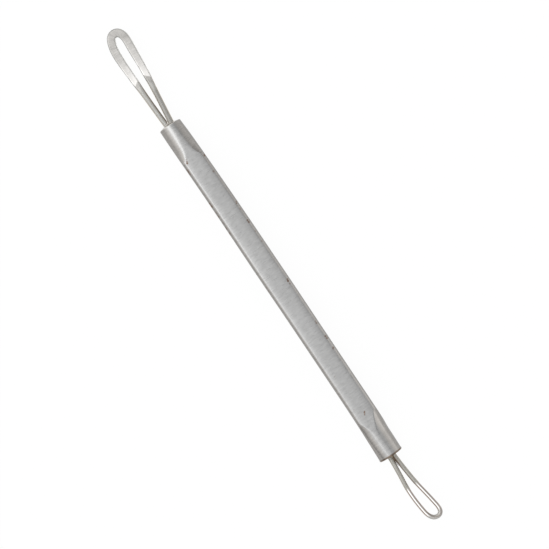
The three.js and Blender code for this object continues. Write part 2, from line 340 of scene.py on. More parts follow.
# How finely the surfaces are divided: points round each section, rings along the bar's middle,
# steps from a braze's edge to its middle, and steps of a loop's line in its bore, in the bend at
# the mouth, on the leg and round the tip. The handle's points crowd towards its edges.
HANDLE_ANGLES = 192
WIRE_ANGLES = 48
BRAZE_ANGLES = 64
MIDDLE_RINGS = 40
BRAZE_STEPS = 24
BORE_STEPS = 6
BEND_STEPS = 4
LEG_STEPS = 130
TIP_STEPS = 40
EDGE_CROWDING = 0.1
HALVINGS = 26
# The width over which a ground flat meets the round of its wire.
GROUND_EDGE = 0.02 * MM


# Sizes and colours that a user may change


def length(name, description, default):
    """A length property in metres."""
    return FloatProperty(
        name=name, description=description, default=default, min=0.0, precision=5, unit="LENGTH"
    )


def share(name, description, default, high=1.0):
    """A plain number between zero and a limit."""
    return FloatProperty(name=name, description=description, default=default, min=0.0, max=high)


def angle(name, description, degrees):
    """An angle property, whose default is given in degrees."""
    return FloatProperty(
        name=name, description=description, default=math.radians(degrees), subtype="ANGLE"
    )


def colour(name, description, default):
    """A colour property."""
    return FloatVectorProperty(
        name=name, description=description, default=default, size=3, min=0, max=1, subtype="COLOR"
    )


class ExtractorHandleSizes(bpy.types.PropertyGroup):
    """The bar between the two loops."""

    length: length("Length", "Length of the bar between its end faces", HANDLE_LENGTH)
    width: length("Width", "Width of the bar across its side flats", HANDLE_THICKNESS)
    thickness: length("Thickness", "Thickness of the bar", HANDLE_THICKNESS)
    edge_radius: length("Edge radius", "Radius of the four long edges", 0.65 * MM)
    crown: length("Crown", "How far the flats fall away towards their edges", 0.15 * MM)


class ExtractorLargeLoopSizes(bpy.types.PropertyGroup):
    """The planished loop."""

    wire: length("Wire", "Diameter of the round wire", 1.15 * MM)
    band: length("Band", "Width of the wire where it is hammered flat", 1.72 * MM)
    reach: length("Reach", "Length outside the handle", -LARGE_TIP_X - HANDLE_LENGTH / 2)
    eye: length("Eye", "Clear width of the eye", 1.55 * MM)
    roll: angle("Roll", "How far one leg lies above the other", 20)
    spread: angle("Spread", "Angle at which each leg leaves the handle", 4.7)
    depth: length("Depth", "How deep the legs sit in the bore", 8 * MM)
    shift: length("Shift", "How far both legs sit to one side of the bore", 0)
    lean: length("Lean", "Sideways lean of the tip", 0.93 * MM)


class ExtractorSmallLoopSizes(bpy.types.PropertyGroup):
    """The small round loop."""

    wire: length("Wire", "Diameter of the round wire", 0.93 * MM)
    band: length("Band", "Width of the wire at its tip", 0.93 * MM)
    reach: length("Reach", "Length outside the handle", SMALL_TIP_X - HANDLE_LENGTH / 2)
    eye: length("Eye", "Clear width of the eye", 1.86 * MM)
    roll: angle("Roll", "How far one leg lies above the other", 8)
    spread: angle("Spread", "Angle at which each leg leaves the handle", 2)
    depth: length("Depth", "How deep the legs sit in the bore", 7 * MM)
    shift: length("Shift", "How far both legs sit to one side of the bore", 0.04 * MM)
    lean: length("Lean", "Sideways lean of the tip", 1.07 * MM)


class ExtractorFinishes(bpy.types.PropertyGroup):
    """Colours and roughness of the metals, and the tints of the light and shade painted on them."""

    bar_steel: colour("Bar steel", "Satin steel of the bar", (0.385, 0.385, 0.383))
    turned_steel: colour("Turned steel", "Turned ends of the bar", (0.381, 0.38, 0.376))
    # A warm painted reflection on the handle's sides, as from the warmer light low down round the
    # tool.
    side_reflection_tint: colour("Side tint", "Share of each colour that the sides give back", (1.0, 0.96, 0.918))
    # A dark brown used for painted shade on the small end's rim, and for the darker brown at the small
    # loop's roots.
    rim_shade_and_root_brown: colour("Heat tint", "Rim of the small end, browned by the torch", (0.16, 0.12, 0.09))
    bar_roughness: share("Bar roughness", "Roughness of the satin bar", 0.3)
    leg_steel: colour("Leg steel", "Matte legs of the large loop", (0.43, 0.425, 0.405))
    # A darker colour for the first leg towards its root.
    darker_leg_steel: colour("Dull leg steel", "Duller leg of the large loop", (0.34, 0.332, 0.312))
    hammered_steel: colour("Hammered steel", "Sides of the hammered part", (0.51, 0.505, 0.485))
    ground_steel: colour("Ground steel", "Ground flat of the large loop", (0.297, 0.289, 0.274))
    # The ground flat's brightest part is a painted highlight.
    highlight_steel: colour("Worn steel", "Brightest part of the ground flat", (0.632, 0.62, 0.605))
    fine_leg_steel: colour("Fine leg steel", "Matte legs of the small loop", (0.385, 0.375, 0.345))
    fine_tip_steel: colour("Fine tip steel", "Matte tip of the small loop", (0.43, 0.42, 0.4))
    polished_steel: colour("Polished steel", "Polished part of the small loop", (0.86, 0.85, 0.835))
    # The two tints below are painted reflections, tan, on the flanks of the legs.
    painted_tan_reflection: colour("Tan tint", "Flanks of the large loop's legs", (0.56, 0.49, 0.39))
    fine_painted_tan_reflection: colour("Fine tan tint", "Flanks of the small loop's legs", (0.42, 0.375, 0.3))
    shadow_tint: colour("Shadow tint", "Darkened inner flank of a leg", (0.31, 0.27, 0.235))
    # The two tints below are painted shade on the flanks of the polished wire; the first also colours
    # the line across its tip.
    brown_tint: colour("Brown tint", "Darker flank of the polished wire", (0.27, 0.22, 0.19))
    pale_brown_tint: colour("Pale brown tint", "Paler flank of the polished wire", (0.35, 0.27, 0.21))
    large_braze: colour("Large braze", "The braze at the root of the large loop", (0.72, 0.7, 0.67))
    small_braze: colour("Small braze", "The braze at the root of the small loop", (0.42, 0.35, 0.23))
    fleck: colour("Flecks", "Brown flecks along the long edges", (0.2, 0.14, 0.11))


class ExtractorStudio(bpy.types.PropertyGroup):
    """Floor, lamp and camera."""

    floor: colour("Floor", "Colour of the floor", (0.9, 0.9, 0.9))
    key_level: share("Key level", "Brightness of the softbox past the large loop", 1.15, 10)
    camera_height: length("Camera height", "Height of the camera over the bar", 500 * MM)
    frame_width: length("Frame width", "Width that the camera takes in", 109.98 * MM)


# Meshes


def skin(name, rings, start, end):
    """A closed mesh over rings of as many points each, from the start point to the end point."""
    count = len(rings[0])
    points = [tuple(start)]
    for ring in rings:
        points.extend(tuple(point) for point in ring)
    points.append(tuple(end))
    last = 1 + (len(rings) - 1) * count
    faces = []
    for i in range(count):
        step = (i + 1) % count
        faces.append((0, 1 + step, 1 + i))
        for r in range(len(rings) - 1):
            low = 1 + r * count
            faces.append((low + i, low + step, low + count + step, low + count + i))
        faces.append((last + i, last + step, len(points) - 1))
    mesh = bpy.data.meshes.new(name)
    mesh.from_pydata(points, [], faces)
    mesh.polygons.foreach_set("use_smooth", [True] * len(mesh.polygons))
    mesh.validate()
    mesh.update()
    piece = bpy.data.objects.new(name, mesh)
    bpy.context.scene.collection.objects.link(piece)
    return piece


def paint(piece, name, values):
    """Stores one number, or three, for each point of a piece, for its material to read."""
    values = np.asarray(values, float)
    kind = "FLOAT" if values.ndim == 1 else "FLOAT_VECTOR"
    attribute = piece.data.attributes.new(name, kind, "POINT")
    attribute.data.foreach_set("value" if kind == "FLOAT" else "vector", values.ravel())


def fit(piece, node, finish):
    """Puts a piece on the body in place of its CAD node, with its finish."""
    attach(piece, "root")
    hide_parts(node)
    piece.data.materials.append(finish)


def smooth_max(a, b, width):
    """The larger of two distances, rounded where they are within a width of each other."""
    near = np.maximum(width - np.abs(a - b), 0) / width
    return np.maximum(a, b) + near**3 * width / 6


def surface_reach(outside, cosine, sine, far):
    """How far along each direction a section's surface lies. outside(across, up) is above zero
    outside it."""
    low = np.zeros(len(cosine))
    high = np.full(len(cosine), far)
    for _ in range(HALVINGS):
        middle = (low + high) / 2
        out = outside(middle * cosine, middle * sine) > 0
        high = np.where(out, middle, high)
        low = np.where(out, low, middle)
    return (low + high) / 2


def through(table, place):
    """A table of (place, value) read with straight lines between its rows."""
    places, values = zip(*table)
    return float(np.interp(place, places, values))


def smooth_through(table, place):
    """A table of (place, value) read along a smooth curve through its rows."""
    places = [row[0] for row in table]
    values = [row[1] for row in table]
    slopes = np.gradient(values, places)
    i = int(np.clip(np.searchsorted(places, place) - 1, 0, len(places) - 2))
    gap = places[i + 1] - places[i]
    t = min(max((place - places[i]) / gap, 0), 1)
    return (
        values[i] * (1 + 2 * t) * (1 - t) ** 2
        + values[i + 1] * t * t * (3 - 2 * t)
        + gap * slopes[i] * t * (1 - t) ** 2
        + gap * slopes[i + 1] * t * t * (t - 1)
    )


# The handle


def handle_lean(x):
    """How far the handle stands to the side at a place along it: its bow, less its lean."""
    end = LARGE_END if x < 0 else SMALL_END
    start = end["lean_start"] * MM
    part = min(max((abs(x) - start) / (HANDLE_LENGTH / 2 - start), 0), 1)
    bow_start, bow_end, bow = BAR_BOW
    bowed = min(max((x - bow_start) / (bow_end - bow_start), 0), 1)
    return bow * bowed**2 * (3 - 2 * bowed) - end["sideways_lean"] * MM * part**2


def turned_radius(end, depth):
    """Radius that the cutter left at a depth in from an end face, all in millimetres."""
    taper_depth = end["straight_length"] + end["taper_length"]
    if depth <= end["straight_length"]:
        return end["turned_radius"]
    if depth <= taper_depth:
        part = (depth - end["straight_length"]) / end["taper_length"]
        return end["turned_radius"] + end["taper_rise"] * part
    sine = math.sin(math.atan2(end["taper_rise"], end["taper_length"]))
    radius = end["turned_radius"] + end["taper_rise"]
    arcs = (
        (end["runout_radius"], min(depth, end["shoulder_depth"]) - taper_depth),
        (end["shoulder_radius"], max(depth - end["shoulder_depth"], 0)),
    )
    for arc_radius, along in arcs:
        next_sine = sine + along / arc_radius
        if next_sine >= 1:
            return 2 * end["turned_radius"]
        radius += arc_radius * (math.sqrt(1 - sine * sine) - math.sqrt(1 - next_sine * next_sine))
        sine = next_sine
    return radius


def end_stations(end):
    """Depths from an end face at which the handle has a ring, past the rounded rim: coarsely
    along the taper, and finely until the turning has left the bar's edges. In millimetres."""
    first, coarse, fine = 0.62, 0.2, 0.1
    beyond_edges = 4
    runout = end["straight_length"] + end["taper_length"]
    petal_ends = end["shoulder_depth"] - 0.3
    depths = [*np.arange(first, runout, coarse), *np.arange(runout, petal_ends, fine)]
    while turned_radius(end, depths[-1]) < beyond_edges:
        depths.append(depths[-1] + min(end["shoulder_radius"] / 24, fine))
    return depths


def quarter_turn(steps):
    """The angles of a quarter turn, in equal steps from zero."""
    return [math.pi / 2 * step / steps for step in range(steps + 1)]


def end_rings(end):
    """(radius, depth, turned) of an end's round rings, from the drill's point out to the rim."""
    bore, depth = end["bore_radius"], end["bore_depth"]
    crown, edge = end["face_crown"], end["edge_break"]
    face_radius = end["turned_radius"] - edge
    mouth = crown * (bore / face_radius) ** 2
    rows = [(bore / 2, depth + bore * DRILL_POINT_SHARE / 2, 0), (bore, depth, 0)]
    for part in (0.7, 0.4, 0.15):
        rows.append((bore, depth * part, 0))
    for turn in quarter_turn(3):
        out = BORE_RIM * (1 - math.cos(turn))
        rows.append((bore + out, mouth + BORE_RIM * (1 - math.sin(turn)), 1))
    face_start = bore + BORE_RIM
    for step in range(1, 7):
        radius = face_start + (face_radius - face_start) * step / 6
        rows.append((radius, crown * (radius / face_radius) ** 2, 1))
    for turn in quarter_turn(8)[1:]:
        rows.append((face_radius + edge * math.sin(turn), crown + edge * (1 - math.cos(turn)), 1))
    return rows


def bar_section(x, sizes):
    """The section of the square bar at a place along it, as a distance outside it."""
    half_wide = sizes.width / 2 * smooth_through(BAR_OUTLINE_SHARES, x / sizes.length)
    half_high = sizes.thickness / 2
    radius = sizes.edge_radius
    crown_power = 3.4

    def outside(across, up):
        wide = np.abs(across) + sizes.crown * np.abs(up / half_high) ** crown_power
        high = np.abs(up) + sizes.crown * np.abs(across / half_wide) ** crown_power
        wide = wide - (half_wide - radius)
        high = high - (half_high - radius)
        corner = np.hypot(np.maximum(wide, 0), np.maximum(high, 0))
        return corner + np.minimum(np.maximum(wide, high), 0) - radius

    return outside


def handle_ring(x, sizes, cosine, sine):
    """One ring of the handle's outside, and how far each point of it is turned."""
    end = LARGE_END if x < 0 else SMALL_END
    bar = bar_section(x, sizes)
    depth = (sizes.length / 2 - abs(x)) / MM
    radius = turned_radius(end, depth) * MM
    crease = end["crease"] * MM
    drifted = MM * min(depth / end["drift_length"], 1)
    drift, drop = end["turning_drift"] * drifted, end["turning_drop"] * drifted

    def outside(across, up):
        return smooth_max(bar(across, up), np.hypot(across - drift, up + drop) - radius, crease)

    reach = surface_reach(outside, cosine, sine, sizes.width)
    across, up = reach * cosine, reach * sine
    difference = (np.hypot(across - drift, up + drop) - radius) - bar(across, up)
    turned = np.clip(difference / crease + 0.5, 0, 1)
    return across, up, turned


def make_handle(sizes):
    """The bar with its turned ends, domed faces and blind bores, as one closed mesh."""
    turn = 2 * math.pi * np.arange(HANDLE_ANGLES) / HANDLE_ANGLES
    angles = turn + EDGE_CROWDING * np.sin(4 * turn)
    cosine, sine = np.cos(angles), np.sin(angles)
    half = sizes.length / 2
    rings = []
    turned_marks = []

    def add(x, across, up, turned):
        lean = handle_lean(x)
        rings.append([(x, a + lean, u + AXIS_HEIGHT) for a, u in zip(across, up)])
        turned_marks.extend(turned)

    def add_round(side, radius, depth, turned):
        x = side * (half - depth * MM)
        add(x, radius * MM * cosine, radius * MM * sine, np.full(HANDLE_ANGLES, turned))

    def drill_point(side, end):
        depth = (end["bore_depth"] + end["bore_radius"] * DRILL_POINT_SHARE) * MM
        x = side * (half - depth)
        return (x, handle_lean(x), AXIS_HEIGHT)

    for radius, depth, turned in end_rings(LARGE_END):
        add_round(LARGE_SIDE, radius, depth, turned)
    large_places = [-half + depth * MM for depth in end_stations(LARGE_END)]
    small_places = [half - depth * MM for depth in end_stations(SMALL_END)][::-1]
    middle = np.linspace(large_places[-1], small_places[0], MIDDLE_RINGS + 2)[1:-1]
    for x in [*large_places, *middle, *small_places]:
        add(x, *handle_ring(x, sizes, cosine, sine))
    for radius, depth, turned in reversed(end_rings(SMALL_END)):
        add_round(SMALL_SIDE, radius, depth, turned)
    start, finish = drill_point(LARGE_SIDE, LARGE_END), drill_point(SMALL_SIDE, SMALL_END)
    piece = skin("satin_handle", rings, start, finish)
    paint(piece, "turned", [0, *turned_marks, 0])
    return piece


# The loops


def curve_points(controls, steps):
    """Points along a Bezier curve of three or four control points, without its last one."""
    controls = [np.array(c, float) for c in controls]
    points = []
    for i in range(steps):
        row = controls
        t = i / steps
        while len(row) > 1:
            row = [a + (b - a) * t for a, b in zip(row, row[1:])]
        points.append(row[0])
    return points


def centre_line(sizes, plan, lean_shares, side):
    """The centre line of a loop: in along one leg, out, round the tip and back."""
    seat_radius = (sizes.wire + LEG_GAP) / 2
    seat_across = seat_radius * math.cos(sizes.roll)
    seat_up = seat_radius * math.sin(sizes.roll)
    tip = sizes.reach - sizes.band / 2
    leg_end = plan["leg_end"] * tip
    half = (sizes.eye + sizes.band) / 2
    slope = math.tan(sizes.spread)
    start = plan["leg_start_handle"] * leg_end
    finish = plan["leg_finish_handle"] * leg_end
    bend = sizes.wire
    inner = seat_across - slope * bend / 2
    side_handle = leg_end + plan["tip_side_handle"] * (tip - leg_end)
    points = curve_points([(-sizes.depth, inner, seat_up), (-bend, inner, seat_up)], BORE_STEPS)
    points += curve_points(
        [
            (-bend, inner, seat_up),
            (-bend / 2, inner, seat_up),
            (0, seat_across, seat_up),
        ],
        BEND_STEPS,
    )
    points += curve_points(
        [
            (0, seat_across, seat_up),
            (start, seat_across + slope * start, seat_up),
            (leg_end - finish, half, 0),
            (leg_end, half, 0),
        ],
        LEG_STEPS,
    )
    points += curve_points(
        [
            (leg_end, half, 0),
            (side_handle, half, 0),
            (tip, plan["tip_end_handle"] * half, 0),
            (tip, 0, 0),
        ],
        TIP_STEPS,
    )
    mirrored = [p * (1, -1, -1) for p in points[::-1]]
    line = []
    for p in [*points, np.array((tip, 0, 0)), *mirrored]:
        x = side * (HANDLE_LENGTH / 2 + p[0])
        lean = sizes.lean * smooth_through(lean_shares, max(p[0], 0) / sizes.reach)
        lean += sizes.shift + handle_lean(x)
        line.append(np.array((x, p[1] + lean, p[2] + AXIS_HEIGHT)))
    return line


def wire_mesh(name, line, side, reach, section):
    """A wire along a centre line. section(back) gives the half width, half height, power, ground
    height and painted highlight at a distance back from the tip."""
    angles = 2 * math.pi * np.arange(WIRE_ANGLES) / WIRE_ANGLES
    cosine, sine = np.cos(angles), np.sin(angles)
    rings = []
    grain = []
    ground_marks = []
    highlight_marks = []
    travelled = 0
    for i, point in enumerate(line):
        before = line[max(i - 1, 0)]
        after = line[min(i + 1, len(line) - 1)]
        along = (after - before) / np.linalg.norm(after - before)
        across = np.cross((0, 0, 1), along)
        across /= np.linalg.norm(across)
        rise = np.cross(along, across)
        if i:
            travelled += float(np.linalg.norm(point - before))
        back = HANDLE_LENGTH / 2 + reach - abs(point[0])
        half_wide, half_high, power, ground, painted_highlight = section(back)

        def round_part(v, w):
            reach_share = np.abs(v / half_wide) ** power + np.abs(w / half_high) ** power
            return (reach_share ** (1 / power) - 1) * min(half_wide, half_high)

        def ground_part(v, w):
            return np.abs(w) - ground(side * v)

        def outside(v, w):
            return smooth_max(round_part(v, w), ground_part(v, w), GROUND_EDGE)

        far = surface_reach(outside, cosine, sine, 2 * half_wide)
        v, w = far * cosine, far * sine
        rings.append([point + across * a + rise * b for a, b in zip(v, w)])
        grain.extend((travelled, a, b) for a, b in zip(v, w))
        ground_share = (ground_part(v, w) - round_part(v, w)) / GROUND_EDGE + 0.5
        ground_marks.extend(np.clip(ground_share, 0, 1))
        highlight_marks.extend(painted_highlight(side * v))
    piece = skin(name, rings, line[0], line[-1])
    paint(piece, "grain", [grain[0], *grain, grain[-1]])
    paint(piece, "ground", [0, *ground_marks, 0])
    paint(piece, "painted_highlight", [0, *highlight_marks, 0])
    return piece


def make_large_loop(sizes):
    """The loop whose tip is hammered, and ground flat as far as a slant across the wire."""
    line = centre_line(sizes, LARGE_PLAN_SHARES, LARGE_LEAN_SHARES, LARGE_SIDE)
    radius = sizes.wire / 2
    slant = 0.5 * MM

    def section(back):
        spread = through(SPREAD_SHARES, back / sizes.reach)
        half_wide = radius + (sizes.band / 2 - radius) * spread
        half_high = radius * (1 - HAMMERED_THINNING * min(1, spread / THINNED_AT))
        power = 2 + HAMMERED_POWER * min(1, spread / SQUARED_AT)

        def place(outward):
            return (back - slant * outward / half_wide) / sizes.reach

        def ground(outward):
            return radius * np.interp(place(outward), *zip(*GROUND_SHARES))

        # The painted highlight across the ground flat, by place.
        def painted_highlight(outward):
            return np.interp(place(outward), *zip(*HIGHLIGHT_SHARES))

        return half_wide, half_high, power, ground, painted_highlight

    return wire_mesh("planished_large_loop", line, LARGE_SIDE, sizes.reach, section)


def make_small_loop(sizes):
    """The small loop, of wire that is round all the way."""
    line = centre_line(sizes, SMALL_PLAN_SHARES, SMALL_LEAN_SHARES, SMALL_SIDE)
    radius = sizes.wire / 2

    def clear(outward):
        return np.full(np.shape(outward), 2 * radius)

    def plain(outward):
        return np.zeros(np.shape(outward))

    def section(back):
        return radius, radius, 2, clear, plain

    return wire_mesh("polished_small_loop", line, SMALL_SIDE, sizes.reach, section)


# The brazes


def make_braze(name, end, side, loop):
    """The braze in one bore: a plug whose outside is a low dome that climbs the two legs."""
    angles = 2 * math.pi * np.arange(BRAZE_ANGLES) / BRAZE_ANGLES
    radius = end["bore_radius"] * MM - BRAZE_GAP
    face_radius = (end["turned_radius"] - end["edge_break"]) * MM
    mouth = end["face_crown"] * MM * (radius / face_radius) ** 2
    dome = mouth + BRAZE_DOME
    climb = end["fillet"] * MM
    climb_length = 0.1 * MM
    web = end["web"] * MM
    web_width = 0.1 * MM
    seat_radius = (loop.wire + LEG_GAP) / 2
    seat = np.array((math.cos(loop.roll), math.sin(loop.roll))) * seat_radius

    def height(y, z):
        inward = 1 - (y * y + z * z) / radius**2
        out = dome * inward
        gaps = 0
        for sign in (1, -1):
            gap = math.hypot(y - loop.shift - sign * seat[0], z - sign * seat[1]) - loop.wire / 2
            out += climb * math.exp(-max(gap, 0) / climb_length) * max(inward, 0) ** 0.5 / 2
            gaps += max(gap, 0)
        out += web * math.exp(-((gaps / web_width) ** 2))
        return out - mouth

    rings = []

    def add(share_of_radius, outs):
        ring = []
        for turn, out in zip(angles, outs):
            y = radius * share_of_radius * math.cos(turn)
            z = radius * share_of_radius * math.sin(turn)
            x = side * (HANDLE_LENGTH / 2 + out)
            ring.append((x, y + handle_lean(x), z + AXIS_HEIGHT))
        rings.append(ring)

    depth = end["bore_depth"] * MM
    bottom_share = 0.95
    for part in (bottom_share, 0.5, 0.1):
        add(1, [-depth * part] * BRAZE_ANGLES)
    for step in range(BRAZE_STEPS):
        part = 1 - step / BRAZE_STEPS
        add(part, [height(radius * part * math.cos(a), radius * part * math.sin(a)) for a in angles])
    bottom = side * (HANDLE_LENGTH / 2 - depth * bottom_share)
    top = side * (HANDLE_LENGTH / 2 + height(0, 0))
    start = (bottom, handle_lean(bottom), AXIS_HEIGHT)
    finish = (top, handle_lean(top), AXIS_HEIGHT)
    if side < 0:
        return skin(name, rings[::-1], finish, start)
    return skin(name, rings, start, finish)


# Finishes, with the light and shade painted into them


class Nodes:
    """The node tree of a material or of the world, under construction."""

    def __init__(self, owner):
        owner.use_nodes = True
        self.tree = owner.node_tree
        self.tree.nodes.clear()

    def node(self, kind, **settings):
        made = self.tree.nodes.new(kind)
        for key, value in settings.items():
            setattr(made, key, value)
        return made

    def link(self, source, target):
        self.tree.links.new(source, target)

    def feed(self, target, value):
        """Sets a socket, or links it where the value is another node's output."""
        if isinstance(value, bpy.types.NodeSocket):
            self.link(value, target)
        else:
            target.default_value = value

    def output(self, kind, surface):
        """Makes the output node, fed by a shader."""
        self.link(surface, self.node(kind).inputs["Surface"])

    def axis(self, place, name):
        """One coordinate of a place or direction."""
        made = self.node("ShaderNodeSeparateXYZ")
        self.link(place, made.inputs[0])
        return made.outputs[name]

    def maths(self, operation, a, b=0.0):
        made = self.node("ShaderNodeMath", operation=operation)
        self.feed(made.inputs[0], a)
        self.feed(made.inputs[1], b)
        return made.outputs[0]

    def spread(self, value, low, high, to_low=0.0, to_high=1.0, kind="LINEAR"):
        """A value between two limits, taken to between two others."""
        made = self.node("ShaderNodeMapRange", interpolation_type=kind)
        self.feed(made.inputs["Value"], value)
        made.inputs["From Min"].default_value = low
        made.inputs["From Max"].default_value = high
        made.inputs["To Min"].default_value = to_low
        made.inputs["To Max"].default_value = to_high
        return made.outputs["Result"]

    def rise(self, value, start, full, level=1.0):
        """Zero where the value is at its start, and smoothly up to a level where it is full."""
        return self.spread(value, start, full, 0, level, "SMOOTHSTEP")

    def band(self, value, start, full, fade, end):
        """One between full and fade, falling smoothly to zero at start and end."""
        return self.maths("MINIMUM", self.rise(value, start, full), self.rise(value, end, fade))

    def mixed(self, amount, a, b):
        """A colour between two colours."""
        made = self.node("ShaderNodeMix", data_type="RGBA")
        self.feed(made.inputs[0], amount)
        self.feed(made.inputs[6], a)
        self.feed(made.inputs[7], b)
        return made.outputs[2]


class Finish(Nodes):
    """A node material under construction, for one metal."""

    def __init__(self, name):
        self.material = bpy.data.materials.new(name)
        super().__init__(self.material)
        self.shader = self.node("ShaderNodeBsdfPrincipled")
        self.shader.inputs["Metallic"].default_value = 1
        self.output("ShaderNodeOutputMaterial", self.shader.outputs["BSDF"])

    def where(self):
        """The place on the object."""
        return self.node("ShaderNodeTexCoord").outputs["Object"]

    def mark(self, name, vector=False):
        """What the mesh stores for each point under a name."""
        made = self.node("ShaderNodeAttribute", attribute_name=name)
        return made.outputs["Vector" if vector else "Fac"]

    def facing(self, name):
        """How far the surface faces along one axis, from -1 to 1."""
        return self.axis(self.node("ShaderNodeTexCoord").outputs["Normal"], name)

    def upness(self):
        """How far the surface faces straight up or down, from 0 to 1."""
        return self.maths("ABSOLUTE", self.facing("Z"))

    def times(self, a, b):
        """Two places or colours, multiplied part by part."""
        made = self.node("ShaderNodeVectorMath", operation="MULTIPLY")
        self.feed(made.inputs[0], a)
        self.feed(made.inputs[1], b)
        return made.outputs[0]

    def scaled(self, steel, factor):
        """A colour times a number."""
        made = self.node("ShaderNodeVectorMath", operation="SCALE")
        self.link(steel, made.inputs[0])
        self.link(factor, made.inputs["Scale"])
        return made.outputs[0]

    def noise(self, place, detail, scale=1.0, result="Fac"):
        """Smooth noise between 0 and 1 at a place."""
        made = self.node("ShaderNodeTexNoise")
        self.link(place, made.inputs["Vector"])
        made.inputs["Scale"].default_value = scale
        made.inputs["Detail"].default_value = detail
        return made.outputs[result]

    def grain(self, place, spots, detail=2):
        """Noise with a number of spots per metre each way, for grain that runs one way."""
        return self.noise(self.times(place, spots), detail)

    def around(self, noise, by, low=0.3):
        """Noise taken to between -by and by. It seldom goes below low or above 1 - low."""
        return self.spread(noise, low, 1 - low, -by, by)

    def shades(self, amount, steel, low, high):
        """A colour between two lighter or darker versions of it."""
        return self.mixed(amount, rgba(steel, low), rgba(steel, high))

    def bump(self, height, strength, distance):
        made = self.node("ShaderNodeBump")
        made.inputs["Strength"].default_value = strength
        made.inputs["Distance"].default_value = distance
        self.link(height, made.inputs["Height"])
        self.link(made.outputs["Normal"], self.shader.inputs["Normal"])

    def finish(self, steel, roughness):
        self.feed(self.shader.inputs["Base Color"], steel)
        self.feed(self.shader.inputs["Roughness"], roughness)
        return self.material


def rgba(steel, factor=1.0):
    """A colour for a socket, made lighter or darker."""
    return (*(channel * factor for channel in steel), 1.0)


def handle_finish(finishes, sizes):
    """Satin steel brushed across the bar, turned at its ends, with brown flecks on its edges. Painted
    into it are a warm reflection and shade on its sides, shade on its flats towards the large end,
    light on the large end's face and brown shade on the small end's rim.
    """
    made = Finish("satin_bar_steel")
    place = made.where()
    brushed = made.grain(place, BRUSHED_GRAIN, 3)
    turned = made.mark("turned")
    steel = made.mixed(turned, rgba(finishes.bar_steel), rgba(finishes.turned_steel))
    # Painted reflection: the sides take a warm tint as they face away from up.
    tint = made.mixed(made.rise(made.upness(), *PAINTED_SIDE_REFLECTION), WHITE, rgba(finishes.side_reflection_tint))
    steel = made.scaled(made.times(steel, tint), bar_light(made, place, brushed, turned))
    # Painted shade, in dark brown, on the edge and face of the small end's rim.
    rim = made.rise(made.axis(place, "X"), *PAINTED_RIM_SHADE, 0.95)
    steel = made.mixed(rim, steel, rgba(finishes.rim_shade_and_root_brown))
    stain = fleck_mask(made, place, sizes)
    steel = made.mixed(stain, steel, rgba(finishes.fleck))
    rough = made.maths("ADD", made.around(brushed, 0.03), finishes.bar_roughness)
    rough = made.maths("ADD", rough, made.maths("MULTIPLY", stain, 0.25))
    made.bump(brushed, 0.04, 0.02 * MM)
    made.shader.inputs["Anisotropic"].default_value = 0.5
    made.shader.inputs["Anisotropic Rotation"].default_value = 0.25
    tangent = made.node("ShaderNodeTangent", direction_type="RADIAL", axis="X")
    made.link(tangent.outputs[0], made.shader.inputs["Tangent"])
    return made.finish(steel, rough)


def bar_light(made, place, brushed, turned):
    """How light the handle's steel is at each place, as a share: streaked by its brushing, with
    painted shade on its narrow sides and long edges, painted shade on its flats towards the large end,
    and painted light on the large end's face round the legs."""
    light = made.maths("ADD", made.around(brushed, 0.08), 1.0)
    light = made.maths("ADD", light, made.around(made.grain(place, FINE_GRAIN), 0.015))
    light = made.maths("ADD", light, made.around(made.grain(place, CLOUDY_GRAIN), 0.02, 0.35))
    # Painted shade: the sides and long edges darken as they face away from up.
    sides = made.spread(made.upness(), 0.3, 0.85, PAINTED_SIDE_SHADE, 1.0, "SMOOTHSTEP")
    light = made.maths("MULTIPLY", light, sides)
    x = made.axis(place, "X")
    # Painted shade: the flats darken towards the large end, where the softbox lights them more.
    flats = made.maths("SUBTRACT", 1.0, turned)
    flat_shade = made.maths("MULTIPLY", made.rise(x, *PAINTED_FLAT_SHADE, 0.07), flats)
    light = made.maths("MULTIPLY", light, made.maths("SUBTRACT", 1.0, flat_shade))
    # Painted light on the large end's face: half as bright again, and up to 2.3 times as bright round
    # the legs.
    by_legs = made.band(made.axis(place, "Y"), *PAINTED_FACE_LIGHT_ACROSS)
    painted_face_light = made.maths("MULTIPLY", made.rise(x, *PAINTED_FACE_LIGHT), made.spread(by_legs, 0, 1, 0.5, 1.3))
    return made.maths("MULTIPLY", light, made.maths("ADD", painted_face_light, 1.0))


def fleck_mask(made, place, sizes):
    """Where the flecks lie: ragged round spots, each about its own point on the surface."""
    shifted = made.node("ShaderNodeVectorMath", operation="MULTIPLY_ADD")
    made.link(made.noise(place, 2, FLECK_EDGE_SPOTS, "Color"), shifted.inputs[0])
    shifted.inputs[1].default_value = (FLECK_SHIFT,) * 3
    made.link(place, shifted.inputs[2])
    mean_shift = Vector((FLECK_SHIFT / 2,) * 3)
    mask = None
    for x, y, radius, strength in FLECKS:
        centre = Vector((x * MM, y * MM, fleck_height(x * MM, y * MM, sizes)))
        gap = made.node("ShaderNodeVectorMath", operation="DISTANCE")
        made.link(shifted.outputs[0], gap.inputs[0])
        gap.inputs[1].default_value = centre + mean_shift
        core = radius * FLECK_CORE_SHARE
        spot = made.rise(gap.outputs["Value"], radius * MM, core * MM, strength)
        mask = spot if mask is None else made.maths("MAXIMUM", mask, spot)
    return mask


def fleck_height(x, y, sizes):
    """Height of the bar's upper surface at a point of its plan."""
    outside = bar_section(x, sizes)
    low, high = 0.0, sizes.thickness
    across = np.array([y - handle_lean(x)])
    for _ in range(HALVINGS):
        middle = (low + high) / 2
        if outside(across, np.array([middle]))[0] > 0:
            high = middle
        else:
            low = middle
    return middle + AXIS_HEIGHT


